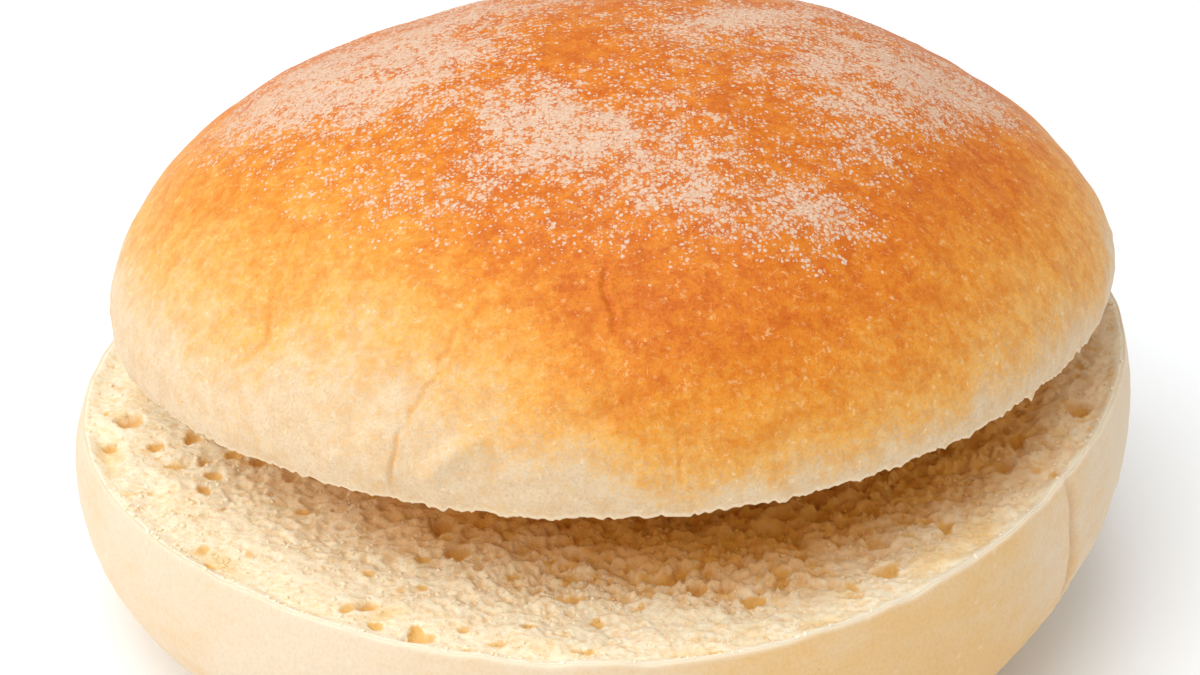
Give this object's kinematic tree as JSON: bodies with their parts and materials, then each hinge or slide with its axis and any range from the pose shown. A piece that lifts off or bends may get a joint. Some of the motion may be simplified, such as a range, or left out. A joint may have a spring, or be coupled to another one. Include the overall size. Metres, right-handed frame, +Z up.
{
  "type": "bread roll",
  "caption": "Soft round bread roll, cut across and left open: a floury domed top half tipped back on a pale bottom half, mouth to the front.",
  "frame": {"origin": "on the table, under the middle of the roll's box", "axes": "+Z up, -Y towards the open front of the mouth, +X to the right as seen from the front"},
  "size_m": [0.1162, 0.1152, 0.0669],
  "materials": {
    "golden_crust": "baked crust, pale at the rim and orange brown on top, soft sheen",
    "pale_crust": "pale floury crust, matt",
    "crumb": "open cream crumb with pores, matt",
    "flour": "dusted flour, matt"
  },
  "bodies": {
    "root": {"crown": "golden_crust", "heel": "pale_crust"}
  },
  "joints": []
}
